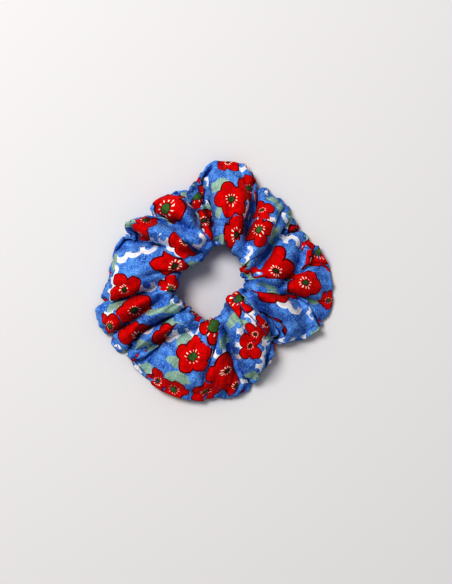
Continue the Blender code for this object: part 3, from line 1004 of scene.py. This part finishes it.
def paint_flowers(g, ground):
    """Red flowers of rounded petals with a fine dark edge, a green middle and a ring of pale stamens."""
    x, y, seed = wobbled(g, "flower", 0.6, 0.9)
    radius = length_of(g, x, y)
    angle = g.math("ARCTAN2", y, x)
    petals = g.add(g.math("GREATER_THAN", g.fraction(seed, 11.3), 0.35), 4.0)
    share = g.math("FRACT", g.add(g.times(g.times(angle, petals), 0.5 / math.pi), g.times(seed, 5.0)))
    turn = g.math("DIVIDE", g.times(g.add(share, -0.5), 2 * math.pi), petals)
    along = g.add(g.times(radius, g.math("COSINE", turn)), -0.56)
    across = g.times(radius, g.math("SINE", turn))
    petal = g.add(length_of(g, along, across), -0.45)
    edge = g.math("SMOOTH_MIN", petal, g.add(radius, -0.45), 0.12)
    inside = g.below(edge, 0.0, 0.02)
    line = g.below(g.math("ABSOLUTE", g.add(edge, 0.03)), 0.03, 0.018)
    dye = g.noise(g.stored("cloth"), 0.5, 3.0)["Fac"]
    red = g.mix(dye, RED_DEEP, RED)
    colour = g.mix(inside, ground, g.mix(line, red, PETAL_EDGE))
    x, y, seed = wobbled(g, "flower", 0.3, 1.7)
    radius = length_of(g, x, g.times(y, g.add(g.times(g.fraction(seed, 3.7), 0.5), 0.9)))
    middle = g.add(g.times(g.math("POWER", g.fraction(seed, 7.3), 1.5), 0.2), 0.09)
    ring = g.add(radius, g.times(middle, -1.0))
    dark = g.below(middle, 0.15, 0.04)
    green = g.mix(g.noise(g.stored("cloth"), 1.3, 3.0)["Fac"], GREEN_DEEP, GREEN)
    colour = g.mix(g.below(ring, 0.035, 0.012), colour, PETAL_EDGE)
    colour = g.mix(g.below(ring, 0.0, 0.02), colour, g.mix(dark, green, GREEN_DEEP))
    dash = g.math("FRACT", g.times(g.math("ARCTAN2", y, x), STAMENS / (2 * math.pi)))
    from_dash = g.times(g.math("ABSOLUTE", g.add(dash, -0.5)), g.times(radius, 2 * math.pi / STAMENS))
    widening = g.add(g.times(ring, 0.17), 0.008)
    thin = g.below(g.add(from_dash, g.times(widening, -1.0)), 0.0, 0.01)
    uneven = g.add(g.times(g.noise(g.join(x, y, seed), 7.0, 0.0)["Fac"], 0.16), -0.02)
    reach = g.below(g.math("ABSOLUTE", g.add(ring, -0.12)), uneven, 0.012)
    return g.mix(g.times(thin, reach), colour, CREAM)


def paint_leaves(g, ground):
    """Soft mint leaves, each a long one with a short one beside it."""
    x, y, seed = wobbled(g, "leaf", 0.9, 0.8)
    bow = g.times(g.times(x, x), 0.25)
    slim = g.add(g.times(seed, 0.9), 1.5)
    first = length_of(g, x, g.times(g.add(y, g.add(bow, -0.2)), slim))
    lean = g.add(x, g.add(g.times(y, 0.7), -0.25))
    second = length_of(g, g.times(lean, 1.9), g.times(g.add(y, 0.45), 1.5))
    mask = g.below(g.math("SMOOTH_MIN", first, second, 0.08), 0.8, 0.04)
    mint = g.mix(g.noise(g.stored("cloth"), 0.9, 4.0)["Fac"], MINT_DEEP, MINT)
    return g.mix(mask, ground, mint)


def paint_scallops(g, ground):
    """Short rows of thick white arcs."""
    x, y, _ = wobbled(g, "scallop", 0.16, 1.0)
    cell = g.math("MINIMUM", g.math("MAXIMUM", g.math("ROUND", g.times(x, 1.25)), -1.0), 1.0)
    arc = g.add(length_of(g, g.add(x, g.times(cell, -0.8)), y), -0.4)
    stroke = g.below(g.math("ABSOLUTE", arc), 0.15, 0.025)
    lower = g.below(y, 0.12, 0.05)
    return g.mix(g.times(stroke, lower), ground, WHITE)


def printed_cotton():
    """Crinkled cotton gauze: a blue ground with a floral print, a plain weave and uneven yarns."""
    g = Graph("printed_cotton_gauze", 0.86, sheen=0.05, specular=0.2)
    cloth = g.stored("cloth")
    u, v, _ = g.split(cloth)
    mottle = g.noise(cloth, 0.22, 5.0)["Fac"]
    blotch = g.below(mottle, 0.5, 0.16)
    ground = g.mix(blotch, BLUE, BLUE_DEEP)
    worn = g.below(g.noise(g.join(u, v, 5.0), 1.6, 4.0)["Fac"], 0.42, 0.1)
    ground = g.mix(g.times(worn, 0.65), ground, BLUE_PALE)
    colour = paint_flowers(g, paint_leaves(g, paint_scallops(g, ground)))
    warp = g.noise(g.join(g.times(u, 2.2), g.times(v, 0.14), 0.0), 1.0, 2.0)["Fac"]
    weft = g.noise(g.join(g.times(u, 0.14), g.times(v, 2.2), 7.0), 1.0, 2.0)["Fac"]
    yarn = g.add(g.times(g.add(warp, weft), 0.5), -0.5)
    bright = g.node("HueSaturation")
    g.feed(bright.inputs["Value"], g.add(g.times(yarn, 1.6), 1.0))
    g.feed(bright.inputs["Color"], colour)
    g.colour(bright.outputs[0])
    g.feed(g.shader.inputs["Roughness"], g.add(g.times(yarn, 0.5), 0.86))
    pitch = 2 * math.pi / WEAVE_PITCH
    weave = g.times(g.math("SINE", g.times(u, pitch)), g.math("SINE", g.times(v, pitch)))
    crinkle = g.noise(g.join(u, g.times(v, 0.6), 3.0), 0.42, 4.0)["Fac"]
    fine = g.add(g.times(weave, WEAVE_BUMP), g.times(yarn, YARN_BUMP))
    g.bump(g.add(g.times(crinkle, CRINKLE_BUMP), fine), 1.0)
    return g.material


def elastic_webbing():
    """White braided elastic: fine diagonal braid over the lengthwise ribs, with painted shade in the braid's
    grooves.
    """
    g = Graph("braided_elastic_white", 0.7, sheen=0.1)
    u, v, _ = g.split(g.stored("cloth"))
    one = g.math("SINE", g.times(g.add(u, v), 2 * math.pi / BRAID_PITCH))
    other = g.math("SINE", g.times(g.add(u, g.times(v, -1.0)), 2 * math.pi / BRAID_PITCH))
    braid = g.math("MAXIMUM", one, other)
    dust = g.noise(g.stored("cloth"), 0.8, 3.0)["Fac"]
    # Painted shade: the braid's grooves, where its bump is low, are painted darker, broken up at random by
    # the dust noise.
    painted_groove_shade = g.below(g.add(braid, g.times(dust, 0.6)), 0.2, 0.6)
    g.colour(g.mix(painted_groove_shade, linear(238, 236, 230), linear(196, 193, 186)))
    g.feed(g.shader.inputs["Roughness"], g.add(g.times(dust, 0.2), 0.6))
    g.bump(g.times(braid, 0.12), 1.0)
    return g.material


def sewing_thread():
    """Twisted polyester thread: slanted plies along a round strand, with painted shade in the grooves
    between them.
    """
    g = Graph("twisted_blue_thread", 0.5, sheen=0.1)
    along, around_it, _ = g.split(g.stored("cloth"))
    ply = g.math("SINE", g.add(g.times(along, 2 * math.pi / PLY_PITCH), g.times(around_it, 2.0)))
    fibre = g.noise(g.stored("cloth"), 3.0, 2.0)["Fac"]
    # Painted shade: the grooves between the plies, where their bump is low, are painted a darker blue,
    # broken up by the fibre noise.
    g.colour(g.mix(g.below(g.add(ply, fibre), 0.3, 0.7), linear(92, 128, 205), linear(52, 82, 160)))
    g.feed(g.shader.inputs["Roughness"], g.add(g.times(fibre, 0.3), 0.4))
    g.bump(g.times(ply, 0.05), 1.0)
    return g.material


# ---- Studio ----


def make_floor():
    mesh = bpy.data.meshes.new("floor")
    half = FLOOR_SIZE / 2
    corners = [(-half, -half, 0), (half, -half, 0), (half, half, 0), (-half, half, 0)]
    mesh.from_pydata(corners, [], [(0, 1, 2, 3)])
    g = Graph("pale_floor", 0.55, specular=0.2)
    g.shader.inputs["Base Color"].default_value = FLOOR_COLOUR
    mesh.materials.append(g.material)
    floor = bpy.data.objects.new("floor", mesh)
    bpy.context.scene.collection.objects.link(floor)


def aim(obj, target):
    obj.rotation_euler = (Vector(target) - obj.location).to_track_quat("-Z", "Y").to_euler()


def make_light(name, place, size, power, colour):
    light = bpy.data.lights.new(name, "AREA")
    light.shape, light.size, light.energy, light.color = "DISK", size, power, colour
    lamp = bpy.data.objects.new(name, light)
    lamp.location = place
    bpy.context.scene.collection.objects.link(lamp)
    aim(lamp, (0.0, 0.0, 0.0))


def light_studio():
    make_light("window", KEY_PLACE, KEY_SIZE, KEY_POWER, KEY_COLOUR)
    world = bpy.data.worlds.new("studio")
    world.use_nodes = True
    sky = world.node_tree.nodes["Background"]
    sky.inputs["Color"].default_value = SKY_COLOUR
    sky.inputs["Strength"].default_value = SKY_STRENGTH
    bpy.context.scene.world = world
    bpy.context.scene.view_settings.view_transform = "Standard"
    bpy.context.scene.view_settings.look = "Very High Contrast"


def make_camera():
    """Straight above, a little right of and below the scrunchie's middle, with its top towards +Y."""
    data = bpy.data.cameras.new("camera")
    data.lens = data.sensor_width * CAMERA_HEIGHT / VIEW_LENGTH
    data.clip_start, data.clip_end = 0.01, 10.0
    camera = bpy.data.objects.new("camera", data)
    lowest, highest = CAD_BOX
    middle = (lowest + highest) / 2
    camera.location = (middle.x + VIEW_SHIFT[0], middle.y + VIEW_SHIFT[1], CAMERA_HEIGHT + MID_HEIGHT * MM)
    camera.rotation_euler = (0.0, 0.0, 0.0)
    bpy.context.scene.collection.objects.link(camera)
    bpy.context.scene.camera = camera


make_camera()
make_floor()
light_studio()

cotton, webbing, thread = printed_cotton(), elastic_webbing(), sewing_thread()
cloth_grid = gathered_cloth()
cloth_grid = crinkled(cloth_grid, np.random.default_rng(CRINKLE_SEED))
sleeve = make_sleeve(cloth_grid, cotton)
band = make_elastic(webbing)
threads = make_threads(cloth_grid, thread)
for piece in (sleeve, band, *threads):
    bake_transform(piece)
